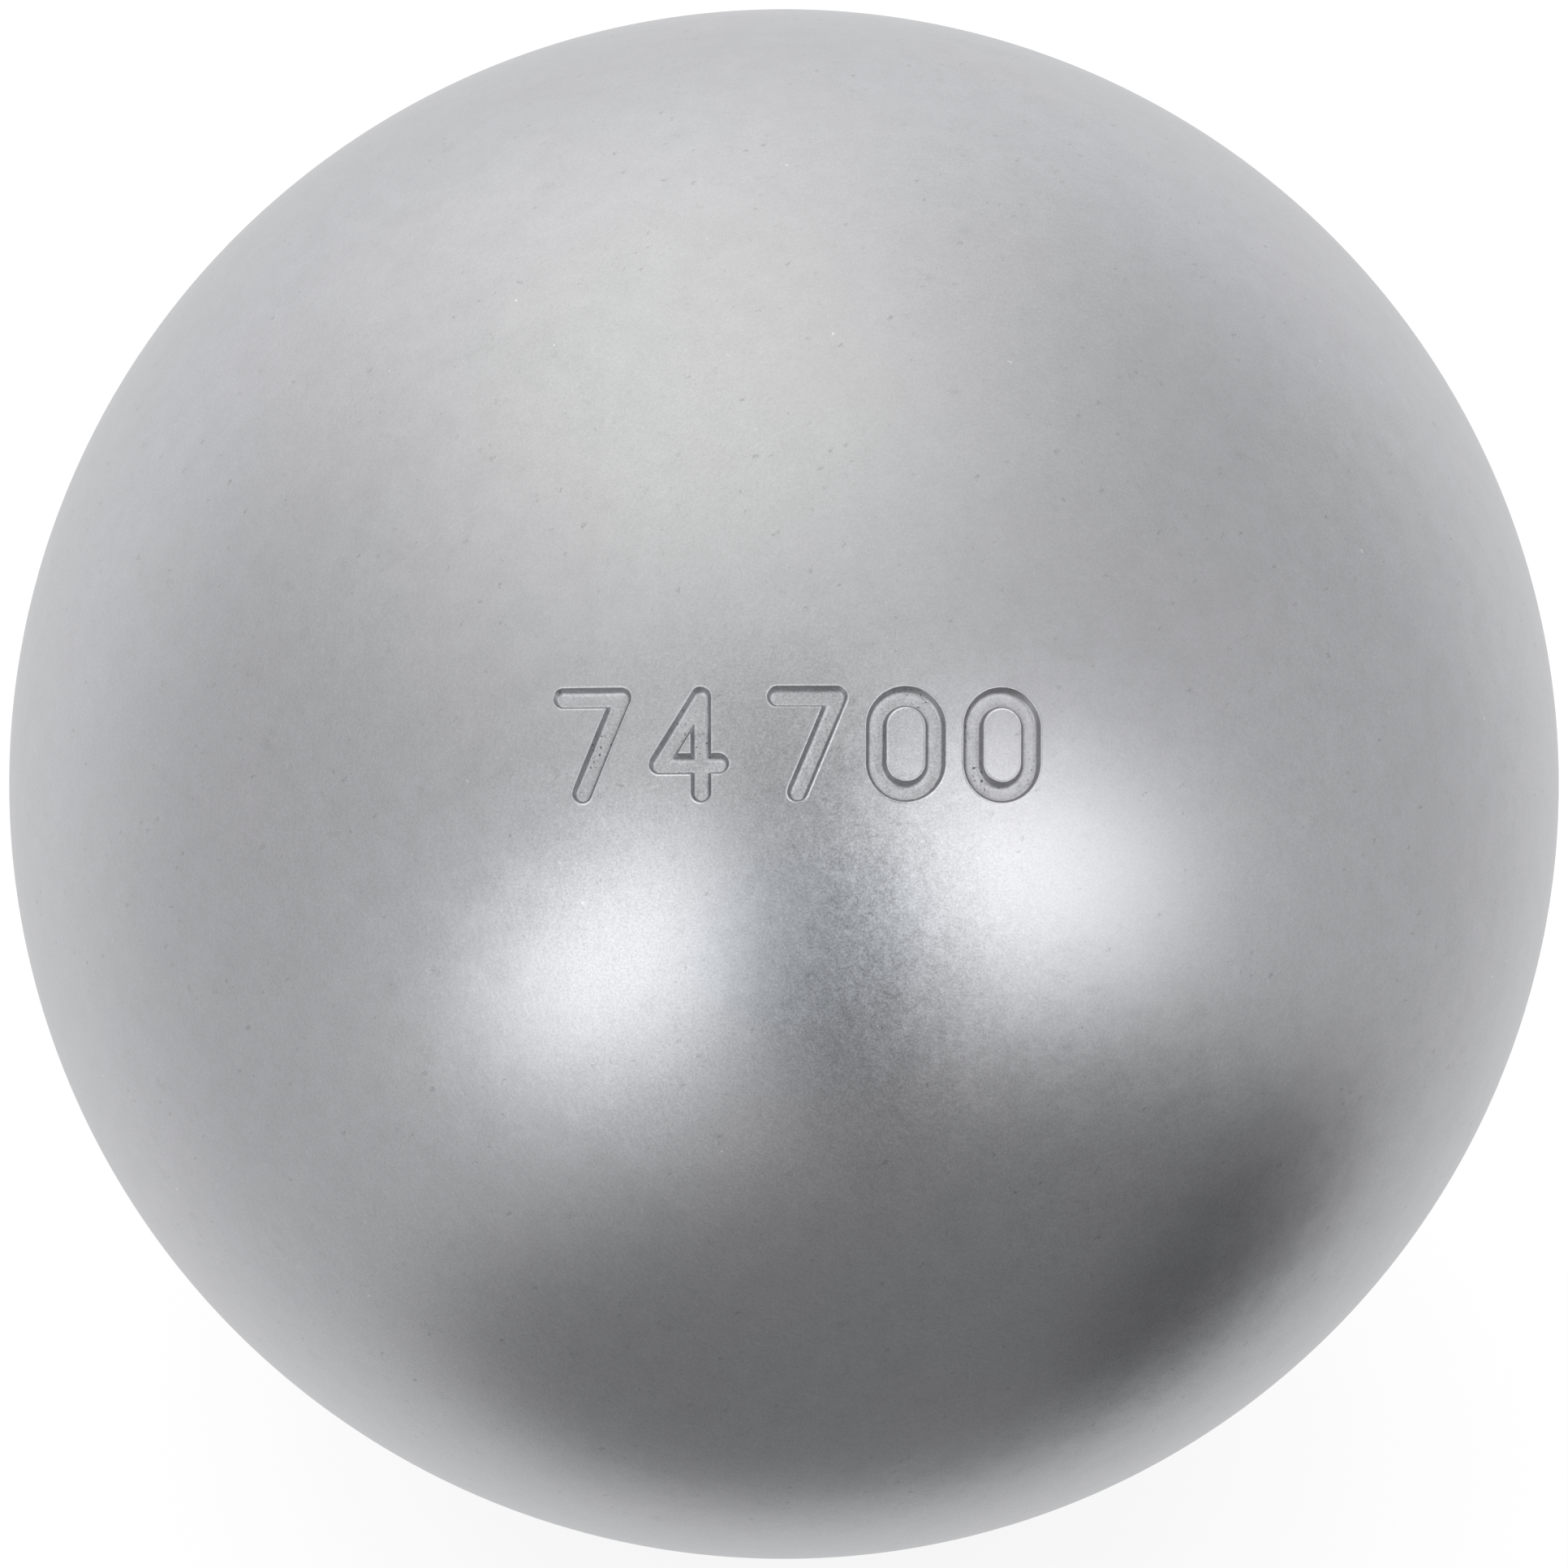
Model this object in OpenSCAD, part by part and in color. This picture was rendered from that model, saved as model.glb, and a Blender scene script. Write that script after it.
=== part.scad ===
// Petanque boule: a hollow ball of hardened steel. Two hot-stamped half shells with bevelled rims
// are joined by one full-penetration weld and then turned to a true sphere. Nothing is held inside.
// Origin at the ball's centre, +Z through the poles of the half shells, lengths in millimetres.

/* [Ball] */
// Outside diameter of the finished ball
ball_d = 74; // [71:0.5:80]
// Wall of the half shells
wall = 6.1; // [5:0.05:7.5]

/* [Weld joint] */
// Opening between the two rims, filled with weld metal
root_gap = 2; // [1:0.1:3]
// Square root face at the inner end of each bevel
root_face = 1.6; // [1:0.1:2.2]
// Lean of each bevel away from the joint plane, in degrees
bevel_angle = 30; // [20:1:40]
// Edge break on the inside edge of each rim
rim_edge_break = 0.4; // [0.2:0.05:0.8]

/* [Root bead] */
// Height of the bead that stands inside along the joint
root_bead_h = 0.9; // [0.4:0.1:1.5]
// Lap of that bead over the inside wall of each half shell
root_bead_lap = 1.1; // [0.6:0.1:2]

/* [Colours] */
// Turned and satin-finished steel
shell_colour = "#b9babd";
// Weld metal
weld_colour = "#8f9196";

/* [Hidden] */
$fn = 180;

ball_r = ball_d / 2;
cavity_r = ball_r - wall;
half_gap = root_gap / 2;
root_r = cavity_r + root_face;
// Cutting shapes run past the ball by this much
overrun = wall;
cut_r = ball_r + overrun;
// Half width of the groove where its cutting shape ends
cut_half_w = half_gap + (cut_r - root_r) * tan(bevel_angle);
// The root bead is the crown of a circle through its height and half its width
bead_half_w = half_gap + rim_edge_break + root_bead_lap;
bead_r = (pow(bead_half_w, 2) + pow(root_bead_h, 2)) / (2 * root_bead_h);

// Right half of a full round about the origin
module half_disc(r) {
    intersection() {
        circle(r = r);
        translate([0, -cut_r])
            square([cut_r, 2 * cut_r]);
    }
}

// Joint between the rims: edge breaks, root opening and the two bevels, out past the surface
module joint_section() {
    polygon([
        [cavity_r - overrun, -half_gap - rim_edge_break],
        [cavity_r, -half_gap - rim_edge_break],
        [cavity_r + rim_edge_break, -half_gap],
        [root_r, -half_gap],
        [cut_r, -cut_half_w],
        [cut_r, cut_half_w],
        [root_r, half_gap],
        [cavity_r + rim_edge_break, half_gap],
        [cavity_r, half_gap + rim_edge_break],
        [cavity_r - overrun, half_gap + rim_edge_break]
    ]);
}

// Ring of wall on both sides of the joint, cut through the ball's axis
module shells_section() {
    difference() {
        half_disc(ball_r);
        half_disc(cavity_r);
        joint_section();
    }
}

// Round whose crown stands inside the wall as the root bead
module root_bead_section() {
    intersection() {
        translate([cavity_r - root_bead_h + bead_r, 0])
            circle(r = bead_r);
        half_disc(root_r);
    }
}

module half_shell() {
    rotate_extrude()
        intersection() {
            shells_section();
            square([cut_r, cut_r]);
        }
}

module upper_half_shell() {
    color(shell_colour)
        half_shell();
}

module lower_half_shell() {
    color(shell_colour)
        mirror([0, 0, 1])
            half_shell();
}

// Weld metal: everything between the rims from the root bead to the turned surface
module weld_bead() {
    color(weld_colour)
        rotate_extrude()
            difference() {
                union() {
                    root_bead_section();
                    intersection() {
                        joint_section();
                        difference() {
                            half_disc(ball_r);
                            half_disc(cavity_r);
                        }
                    }
                }
                shells_section();
            }
}

upper_half_shell();
lower_half_shell();
weld_bead();
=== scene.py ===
"""Petanque boule: two half shells of hardened steel round one weld, satin finished all over, with
a row of plain struck figures, on a pale studio floor."""

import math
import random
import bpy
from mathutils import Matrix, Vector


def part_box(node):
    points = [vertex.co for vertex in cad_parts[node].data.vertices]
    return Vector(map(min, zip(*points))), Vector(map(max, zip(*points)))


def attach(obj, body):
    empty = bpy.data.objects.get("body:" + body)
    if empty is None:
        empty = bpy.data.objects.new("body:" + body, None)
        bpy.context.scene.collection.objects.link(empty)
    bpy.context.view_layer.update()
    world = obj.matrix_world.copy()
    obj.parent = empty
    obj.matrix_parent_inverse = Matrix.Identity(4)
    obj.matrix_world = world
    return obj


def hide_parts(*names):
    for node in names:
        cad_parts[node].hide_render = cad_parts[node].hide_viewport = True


bl_info = {
    "name": "Petanque boule",
    "version": (1, 0, 0),
    "blender": (4, 5, 0),
    "location": "3D View > Sidebar > Boule",
    "description": "Models a struck steel boule and the studio that it is seen in",
    "category": "Add Mesh",
}

from typing import NamedTuple

import bmesh
import bpy
from bpy.props import (
    FloatProperty, FloatVectorProperty, IntProperty, PointerProperty, StringProperty
)
from mathutils import Matrix, Vector
from mathutils.geometry import delaunay_2d_cdt

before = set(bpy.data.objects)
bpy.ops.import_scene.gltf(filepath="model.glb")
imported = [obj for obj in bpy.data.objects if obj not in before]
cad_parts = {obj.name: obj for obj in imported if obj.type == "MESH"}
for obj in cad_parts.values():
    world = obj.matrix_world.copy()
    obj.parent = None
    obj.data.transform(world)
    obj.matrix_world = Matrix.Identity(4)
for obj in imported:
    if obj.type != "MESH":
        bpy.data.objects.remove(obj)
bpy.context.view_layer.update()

MM = 0.001
TINY = 1e-7
NEARLY = 1e-4  # millimetres
FINEST = 1e-5  # millimetres under which two flat points are one
SAME_PLACE = 0.003 * MM
CLEAR_OF_RIM = 0.2 * MM  # an arc's own vertices end this far before the corner that it runs into
CLEAR_OF_BEAD = 0.05 * MM
ON_BALL = 0.001 * MM  # a vertex this near to the ball's surface lies on it
SKIN = 0.1 * MM  # a face whose middle is no deeper than this belongs to the outside
FACES_OUT = 0.8  # least cosine between such a face's normal and the ball's
QUARTER_TURN = math.pi / 2
HALF_TURN = math.pi
FULL_TURN = 2 * math.pi
BALL_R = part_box("upper_half_shell")[1].z
PLAIN_EDGE = math.radians(28)  # edges sharper than this stay sharp
STRUCK_EDGE = math.radians(50)
INNER_COARSER = 3  # times fewer steps in the arcs inside the ball

# The look of the steel. Distances along its surface are in metres; what is counted in from the edge
# of a groove is in millimetres, like the steel's "groove" attribute.


class Spot(NamedTuple):
    """A round place on the ball: its middle in degrees, and its radius in metres."""

    turn: float
    rise: float
    radius: float


class Blotches(NamedTuple):
    """Uneven patches: the size of their noise, its detail and roughness, and where their mask rises."""

    size: float
    detail: float
    rough: float
    rises: tuple


class Marks(NamedTuple):
    """Small marks: one in a share of the cells that fill space, narrowed across a slant in degrees."""

    cell: float
    radius: float
    share: float
    tone: float
    narrowed: float = 1
    slant: float = 0


class Scratch(NamedTuple):
    """A hairline: its middle and its slant in degrees, and its length in metres."""

    turn: float
    rise: float
    slant: float
    length: float


class Stripe(NamedTuple):
    """A stripe along a groove: where its mask rises and where it falls, in from the groove's edge."""

    rises: tuple
    falls: tuple


GRAIN = {
    "Grain Tilt": 0.012,
    "Dash Tilt": 0.012,
    "Cloud Tilt": 0.04,
    "Grain Tone": 0.24,
    "Dash Tone": 0.08,
    "Cloud Tone": 0.16,
    "Grain Rough": 0.02,
    "Dash Rough": 0.02,
    "Cloud Rough": 0.03,
}
DASHES_ACROSS = (math.radians(24), math.radians(31))  # turn and rise of their narrow way
DASHES_NARROWED = 4.0
GRAIN_SIZE = 0.09 * MM
DASH_SIZE = 0.4 * MM
CLOUD_SIZE, CLOUD_DETAIL, CLOUD_ROUGH = 1.6 * MM, 4.0, 0.62
WORN = Spot(3, -10, 40 * MM)
HANDLED = Spot(-1, 28, 16 * MM)
# Where the dark gap between the two highlights falls: the steel is tinted bluer there as a painted
# reflection and darker in blotches as painted shade, and its grain is stronger.
GAP_SHADE_SPOT = Spot(2.4, 25, 8 * MM)
UNEVEN = Blotches(14 * MM, 2.0, 0.5, (0.35, 0.7))
VIOLET = Blotches(11 * MM, 2.0, 0.5, (0.3, 0.7))
CLUSTERS = Blotches(2.2 * MM, 1.0, 0.5, (0.52, 0.64))
# Blotches in the gap between the two highlights: partly real staining, partly painted shade that
# darkens that gap.
STAIN_AND_GAP_SHADE = Blotches(0.9 * MM, 4.0, 0.6, (0.4, 0.7))
GRIME = Blotches(0.5 * MM, 3.0, 0.5, (0.45, 0.7))
MARKS = {
    "pits": Marks(2.4 * MM, 0.13 * MM, 0.22, 0.72),
    "nicks": Marks(1.3 * MM, 0.11 * MM, 0.12, 1.4, 2, 20),
    "flecks": Marks(1.2 * MM, 0.22 * MM, 0.5, 0.76, 3, 125),
    "smudges": Marks(2.2 * MM, 0.5 * MM, 0.35, 0.93, 1.6, 70),
    "scuffs": Marks(1.6 * MM, 0.32 * MM, 0.7, 0.91, 4, 40),
    "crumbs": Marks(0.16 * MM, 0.075 * MM, 0.6, 0.25),
}
MARK_SHAKE = 2.0  # how far a mark's edge is shaken, in its radii
MARK_SHAKE_SIZE = 0.12 * MM
MARK_LEAST, MARK_SPREAD = 0.3, 0.8  # its radius is drawn by lot, from the least share up
MARK_CORE, SPOT_CORE, SCRATCH_CORE = 0.4, 0.3, 0.6  # share of each that its mask fills fully
SCRATCH_HALF_W = 0.03 * MM
SCRATCHES = (
    Scratch(-2.1, 60, 32, 3.4 * MM),
    Scratch(-38, 48, 58, 6 * MM),
    Scratch(34, 8, -20, 5 * MM),
    Scratch(150, 30, 70, 8 * MM),
    Scratch(-120, -12, 15, 7 * MM),
)
# Painted highlight: the tone along each groove's outer edge is lighter, standing in for the light that
# the raised lips catch.
LIP_HIGHLIGHT = Stripe((-0.07, -0.03), (-0.01, 0.01))
# Painted shade: the tone down each groove's walls is darker, standing in for the shade in the recess.
WALL_SHADE = Stripe((0.0, 0.02), (0.12, 0.17))
STRUCK = (0.0, 0.1)  # where this mask and the next two rise, in from the groove's edge
CRUMBED = (0.0, 0.05)
GRIMED = (0.02, 0.1)
# Tones that the masks multiply the steel's colour by: a painted highlight along the lips, a painted
# shade down the groove walls, grime, blotches that are partly staining and partly painted shade in the
# gap between the highlights, and hairlines.
TONES = {"lip_highlight": 1.14, "wall": 0.78, "grime": 0.9, "stain_and_gap_shade": 0.92, "scratches": 1.1}


class BouleSizes(bpy.types.PropertyGroup):
    """Sizes of the ball, its joint and its weld."""

    ball_d: FloatProperty(
        name="Ball", description="Outside diameter", default=2 * BALL_R, unit="LENGTH"
    )
    wall: FloatProperty(
        name="Wall", description="Wall of a half shell", default=6.1 * MM, unit="LENGTH"
    )
    root_gap: FloatProperty(
        name="Root gap", description="Opening between the rims", default=2 * MM, unit="LENGTH"
    )
    root_face: FloatProperty(
        name="Root face", description="Square face inside the bevel", default=1.6 * MM, unit="LENGTH"
    )
    bevel_angle: FloatProperty(
        name="Bevel", description="Lean of a rim's bevel", default=math.radians(30), unit="ROTATION"
    )
    edge_break: FloatProperty(
        name="Edge break", description="Break inside the rim", default=0.4 * MM, unit="LENGTH"
    )
    bead_h: FloatProperty(
        name="Bead height", description="Root bead over the wall", default=0.9 * MM, unit="LENGTH"
    )
    bead_lap: FloatProperty(
        name="Bead lap", description="Root bead past the edge break", default=1.1 * MM, unit="LENGTH"
    )
    around: IntProperty(name="Around", description="Steps round the ball", default=288)


class StampSizes(bpy.types.PropertyGroup):
    """The row of figures that is struck into the upper half shell."""

    figures: StringProperty(
        name="Figures", description="Diameter and weight; 0, 4 and 7 can be struck", default="74 700"
    )
    rise: FloatProperty(
        name="Rise", description="Middle of the row above the equator", default=math.radians(38.7),
        unit="ROTATION",
    )
    turn: FloatProperty(
        name="Turn", description="Middle of the row to the right", default=math.radians(1.16),
        unit="ROTATION",
    )
    slope: FloatProperty(
        name="Slope", description="How far the row climbs to the right", default=math.radians(-0.65),
        unit="ROTATION",
    )
    row_length: FloatProperty(
        name="Row", description="Length of the row over its grooves", default=21.5 * MM, unit="LENGTH"
    )
    space: FloatProperty(name="Space", description="Width of the space, in pitches", default=0.2)
    figure_w: FloatProperty(
        name="Figure width", description="Between the middles of its grooves", default=2.6 * MM,
        unit="LENGTH",
    )
    figure_h: FloatProperty(
        name="Figure height", description="Between the middles of its grooves", default=4.12 * MM,
        unit="LENGTH",
    )
    groove_w: FloatProperty(
        name="Groove", description="Width of a groove at the surface", default=0.91 * MM, unit="LENGTH"
    )
    lean: FloatProperty(
        name="Lean", description="How far the punch has pushed the floor down the ball",
        default=0.13 * MM, unit="LENGTH",
    )
    fineness: FloatProperty(
        name="Fineness", description="Steps along a groove", default=0.07 * MM, unit="LENGTH"
    )
    plain_step: FloatProperty(
        name="Plain step", description="Steps beside the grooves", default=0.45 * MM, unit="LENGTH"
    )


class StudioSizes(bpy.types.PropertyGroup):
    """The camera and the lights."""

    tilt: FloatProperty(
        name="Tilt", description="Camera above the horizon", default=math.radians(36), unit="ROTATION"
    )
    camera_far: FloatProperty(
        name="Distance", description="Camera from the ball's centre, in ball radii", default=10
    )
    frame_share: FloatProperty(
        name="Fill", description="Share of the frame's half width that the ball takes", default=0.9884
    )
    room_level: FloatProperty(
        name="Room", description="Radiance of the room where no light or shade is", default=0.605
    )
    backdrop: FloatProperty(
        name="Backdrop", description="Radiance that the camera sees past the floor", default=0.97
    )
    floor_size: FloatProperty(name="Floor", description="Side of the floor, in ball radii", default=120)
    floor_albedo: FloatProperty(name="Floor albedo", description="What it scatters", default=0.25)
    floor_glow: FloatProperty(name="Floor glow", description="What it gives by itself", default=0.83)


class SteelLook(bpy.types.PropertyGroup):
    """Colours, gloss and grain of the steel. Each grain but the first is what a place adds to it."""

    ground: FloatVectorProperty(
        name="Steel", description="Colour of the ground steel", default=(0.572, 0.581, 0.598),
        min=0, max=1, subtype="COLOR",
    )
    violet: FloatVectorProperty(
        name="Violet", description="Colour of its violet patches", default=(0.577, 0.578, 0.602),
        min=0, max=1, subtype="COLOR",
    )
    # Painted reflection: the bluish tint of the dark gap between the highlights, painted into the
    # steel's colour.
    gap_reflection_tint: FloatVectorProperty(
        name="Blued", description="Colour where it is rubbed", default=(0.567, 0.593, 0.632),
        min=0, max=1, subtype="COLOR",
    )
    edge_light: FloatProperty(
        name="Edge light", description="Share of its light that it keeps seen edge on", default=0.92
    )
    ground_rough: FloatProperty(name="Satin", description="Roughness of the ball", default=0.33)
    struck_rough: FloatProperty(name="Struck", description="Roughness in the grooves", default=0.46)
    least_rough: FloatProperty(name="Glossiest", description="Least roughness", default=0.29)
    grain: FloatProperty(name="Grain", description="Strength of the grain", default=0.9)
    worn_grain: FloatProperty(name="Worn", description="Grain low on the ball", default=0.6)
    handled_grain: FloatProperty(name="Handled", description="Grain round the row", default=1.35)
    uneven_grain: FloatProperty(name="Uneven", description="Grain in broad patches", default=0.4)
    gap_grain: FloatProperty(name="Rubbed", description="Grain under the row", default=0.2)
    struck_grain: FloatProperty(name="In grooves", description="Grain in the grooves", default=0.8)


def boule():
    return bpy.context.scene.boule_sizes


def stamp():
    return bpy.context.scene.stamp_sizes


def studio():
    return bpy.context.scene.studio_sizes


def steel():
    return bpy.context.scene.steel_look


def ball_radius():
    return boule().ball_d / 2


def cavity_radius():
    return ball_radius() - boule().wall


# Modelling helpers


def direction(turn, rise):
    """Unit vector at a turn to the right of the camera's side and a rise above the horizon."""
    return Vector((
        math.sin(turn) * math.cos(rise),
        -math.cos(turn) * math.cos(rise),
        math.sin(rise),
    ))


def slanted_axes(turn, rise, slant):
    """Unit vectors on the ball at a place: one that climbs to the right by the slant, and its up."""
    level = Vector((math.cos(turn), math.sin(turn), 0))
    upward = direction(turn, rise + QUARTER_TURN)
    along = level * math.cos(slant) + upward * math.sin(slant)
    return along, upward * math.cos(slant) - level * math.sin(slant)


def deselect_all():
    """Leaves edit mode and selects nothing."""
    if bpy.context.object and bpy.context.object.mode != "OBJECT":
        bpy.ops.object.mode_set(mode="OBJECT")
    bpy.ops.object.select_all(action="DESELECT")


def edit(piece):
    """Enters edit mode on one piece, to work on its vertices."""
    deselect_all()
    bpy.context.view_layer.objects.active = piece
    piece.select_set(True)
    bpy.ops.object.mode_set(mode="EDIT")
    bpy.ops.mesh.select_mode(type="VERT")


def select_vertices(piece, wanted):
    """Selects exactly the vertices whose place passes the test."""
    mesh = bmesh.from_edit_mesh(piece.data)
    bpy.ops.mesh.select_all(action="DESELECT")
    for vertex in mesh.verts:
        vertex.select = wanted(vertex.co)
    mesh.select_flush(True)
    bmesh.update_edit_mesh(piece.data)


def add_arc(radius, centre_x, steps, keep):
    """Adds a circle in the XZ plane to the mesh being edited and deletes what isn't kept."""
    bpy.ops.mesh.select_all(action="DESELECT")
    bpy.ops.mesh.primitive_circle_add(
        vertices=steps, radius=radius, location=(centre_x, 0, 0), rotation=(QUARTER_TURN, 0, 0)
    )
    piece = bpy.context.object
    mesh = bmesh.from_edit_mesh(piece.data)
    for vertex in mesh.verts:
        if vertex.select and keep(vertex.co):
            vertex.select = False
    mesh.select_flush(False)
    bmesh.update_edit_mesh(piece.data)
    bpy.ops.mesh.delete(type="VERT")


def new_section(name):
    """A piece with an empty mesh, in edit mode, for a section in the XZ plane."""
    deselect_all()
    bpy.ops.mesh.primitive_circle_add(vertices=3, radius=MM)
    piece = bpy.context.object
    piece.name = piece.data.name = name
    edit(piece)
    bpy.ops.mesh.select_all(action="SELECT")
    bpy.ops.mesh.delete(type="VERT")
    return piece


def near(place, x, z):
    """Whether a place of the section is the point (x, z)."""
    return abs(place.x - x) < TINY and abs(place.z - z) < TINY


def end_of_arc(piece, x, z):
    """Place of the vertex that lies nearest to (x, z)."""
    mesh = bmesh.from_edit_mesh(piece.data)
    return min((v.co.copy() for v in mesh.verts), key=lambda p: math.hypot(p.x - x, p.z - z))


def extrude_along(piece, start, corners):
    """Extrudes the vertex at start from corner to corner."""
    select_vertices(piece, lambda p: near(p, start.x, start.z))
    at = (start.x, start.z)
    for x, z in corners:
        move = (x - at[0], 0, z - at[1])
        bpy.ops.mesh.extrude_region_move(TRANSFORM_OT_translate={"value": move})
        at = (x, z)
    return at


def join_ends(piece, a, b):
    """Draws the edge between the vertices at a and b."""
    select_vertices(piece, lambda p: near(p, *a) or near(p, *b))
    bpy.ops.mesh.edge_face_add()


def spin_section(piece):
    """Turns the section round Z into a closed solid."""
    bpy.ops.mesh.select_all(action="SELECT")
    bpy.ops.mesh.spin(steps=boule().around, angle=FULL_TURN, center=(0, 0, 0), axis=(0, 0, 1))
    bpy.ops.mesh.select_all(action="SELECT")
    bpy.ops.mesh.remove_doubles(threshold=TINY)
    bpy.ops.mesh.normals_make_consistent(inside=False)
    bpy.ops.object.mode_set(mode="OBJECT")


def rim_corners():
    """Corners of a rim in (x, z), from the ball's surface in to the cavity's wall."""
    b = boule()
    ball_r, cavity_r = ball_radius(), cavity_radius()
    root_r = cavity_r + b.root_face
    half_gap = b.root_gap / 2
    lean = math.tan(b.bevel_angle)
    start = half_gap - root_r * lean
    whole = 1 + lean * lean
    edge_x = (-start * lean + math.sqrt((start * lean) ** 2 - whole * (start**2 - ball_r**2))) / whole
    break_z = half_gap + b.edge_break
    return [
        (edge_x, start + lean * edge_x),
        (root_r, half_gap),
        (cavity_r + b.edge_break, half_gap),
        (cavity_r, break_z),
        (math.sqrt(cavity_r**2 - break_z**2), break_z),
    ]


def half_shell_solid(name):
    """The plain half shell with its bevelled rim at the bottom."""
    around = boule().around
    rim = rim_corners()
    piece = new_section(name)
    for radius, end, steps in (
        (ball_radius(), rim[0], around), (cavity_radius(), rim[-1], around // INNER_COARSER)
    ):
        add_arc(radius, 0, steps, lambda p: p.x > -TINY and p.z > end[1] + CLEAR_OF_RIM)
    outside = end_of_arc(piece, *rim[0])
    inside = end_of_arc(piece, *rim[-1])
    last = extrude_along(piece, outside, rim)
    join_ends(piece, last, (inside.x, inside.z))
    spin_section(piece)
    return piece


def weld_solid(name):
    """The weld metal, from its root bead inside to the turned surface."""
    b = boule()
    cavity_r = cavity_radius()
    rim = rim_corners()
    half_w = b.root_gap / 2 + b.edge_break + b.bead_lap
    bead_r = (half_w**2 + b.bead_h**2) / (2 * b.bead_h)
    bead_x = cavity_r - b.bead_h + bead_r
    meet_x = (cavity_r**2 - bead_r**2 + bead_x**2) / (2 * bead_x)
    meet_z = math.sqrt(cavity_r**2 - meet_x**2)
    surface_z = rim[0][1] - CLEAR_OF_RIM
    bead_z = meet_z - CLEAR_OF_BEAD
    piece = new_section(name)
    add_arc(ball_radius(), 0, b.around, lambda p: p.x > 0 and abs(p.z) < surface_z)
    inner_steps = b.around // INNER_COARSER
    add_arc(bead_r, bead_x, inner_steps, lambda p: p.x < bead_x and abs(p.z) < bead_z)
    for side in (1, -1):
        outside = end_of_arc(piece, rim[0][0], side * rim[0][1])
        inside = end_of_arc(piece, meet_x, side * meet_z)
        path = [(x, side * z) for x, z in rim + [(meet_x, meet_z)]]
        last = extrude_along(piece, outside, path)
        join_ends(piece, last, (inside.x, inside.z))
    spin_section(piece)
    return piece


# The struck figures. They are worked out flat, in millimetres right (u) and up (v) from the row's
# middle, and then laid on the ball.


class Figure(NamedTuple):
    """One struck figure: where its punch stood and its strokes."""

    middle: Vector
    strokes: list


class Stroke(NamedTuple):
    """A groove's middle line: all points at one distance from a straight core, which is 0 for a bar."""

    start: Vector
    end: Vector
    loop_r: float


# Groove section: (millimetres outside the groove's edge, height over the ball in millimetres)
GROOVE = (
    (0.08, 0.0), (0.06, 0.004), (0.03, 0.012), (0.006, 0.013), (-0.01, 0.002), (-0.025, -0.03),
    (-0.07, -0.125), (-0.115, -0.218), (-0.14, -0.258), (-0.17, -0.288), (-0.21, -0.308),
    (-0.26, -0.322), (-0.32, -0.33),
)
FLOOR_H = GROOVE[-1][1]
HALO = 0.2  # millimetres round a groove that the steel's "groove" attribute counts from
WINDOW_MARGIN = 1  # millimetres of ball round the row that are meshed anew
HAND_TURN = 0.5  # degrees that a hand-held punch is turned at most
HAND_SLIP = 0.03  # millimetres that it stands too high or too low at most
HAND_SEED = 7
LEAST_STEPS = 12  # round an end of a groove
HALVINGS = 40  # of the way between two points, to find where grooves meet


def strokes_of(figure, w, h):
    """Middle lines of a figure that is w wide and h high."""
    core = (h - w) / 2
    bar = -h / 5
    stem = w / 5
    foot = -w / 6
    drawn = {
        "0": [((0, core), (0, -core), w / 2)],
        "4": [
            ((stem, h / 2), (-w / 2, bar), 0),
            ((-w / 2, bar), (w / 2, bar), 0),
            ((stem, h / 2), (stem, -h / 2), 0),
        ],
        "7": [((-w / 2, h / 2), (w / 2, h / 2), 0), ((w / 2, h / 2), (foot, -h / 2), 0)],
    }
    return drawn[figure]


def figure_row():
    """The strokes of each figure, set out along the row with the small errors of a hand-held punch."""
    s = stamp()
    w, h, groove = s.figure_w / MM, s.figure_h / MM, s.groove_w / MM
    places, at = [], 0
    for figure in s.figures:
        places.append(at)
        at += s.space if figure == " " else 1
    pitch = (s.row_length / MM - w - groove) / places[-1]
    dice = random.Random(HAND_SEED)
    row = []
    for place, figure in zip(places, s.figures):
        if figure == " ":
            continue
        turned = Matrix.Rotation(math.radians(dice.uniform(-HAND_TURN, HAND_TURN)), 2)
        middle = Vector(((place - places[-1] / 2) * pitch, dice.uniform(-HAND_SLIP, HAND_SLIP)))
        row.append(Figure(middle, [
            Stroke(middle + turned @ Vector(a), middle + turned @ Vector(b), loop_r)
            for a, b, loop_r in strokes_of(figure, w, h)
        ]))
    return row


def outside_groove(point, strokes):
    """Millimetres from a point to the nearest groove's edge, negative inside it."""
    nearest = math.inf
    for stroke in strokes:
        core = stroke.end - stroke.start
        along = max(0, min(1, (point - stroke.start).dot(core) / core.length_squared))
        away = (point - stroke.start - core * along).length
        nearest = min(nearest, abs(away - stroke.loop_r))
    return nearest - stamp().groove_w / MM / 2


def section_height(outside):
    """Height of the groove's section, in millimetres over the ball."""
    for (high, high_h), (low, low_h) in zip(GROOVE, GROOVE[1:]):
        if outside >= low:
            return low_h + (high_h - low_h) * min(1, (outside - low) / (high - low))
    return FLOOR_H


def struck_height(point, row):
    """Height of the struck surface over the ball. A punch's face is flat, so its floor is as well."""
    figure = min(row, key=lambda each: (each.middle - point).length)
    height = section_height(outside_groove(point, figure.strokes))
    if height > 0:
        return height
    fall_of_ball = (point - figure.middle).length_squared * MM / (2 * ball_radius())
    return height * (1 + fall_of_ball / FLOOR_H)


def heading(turn):
    """Flat unit vector at a turn from the row's right."""
    return Vector((math.cos(turn), math.sin(turn)))


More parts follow.
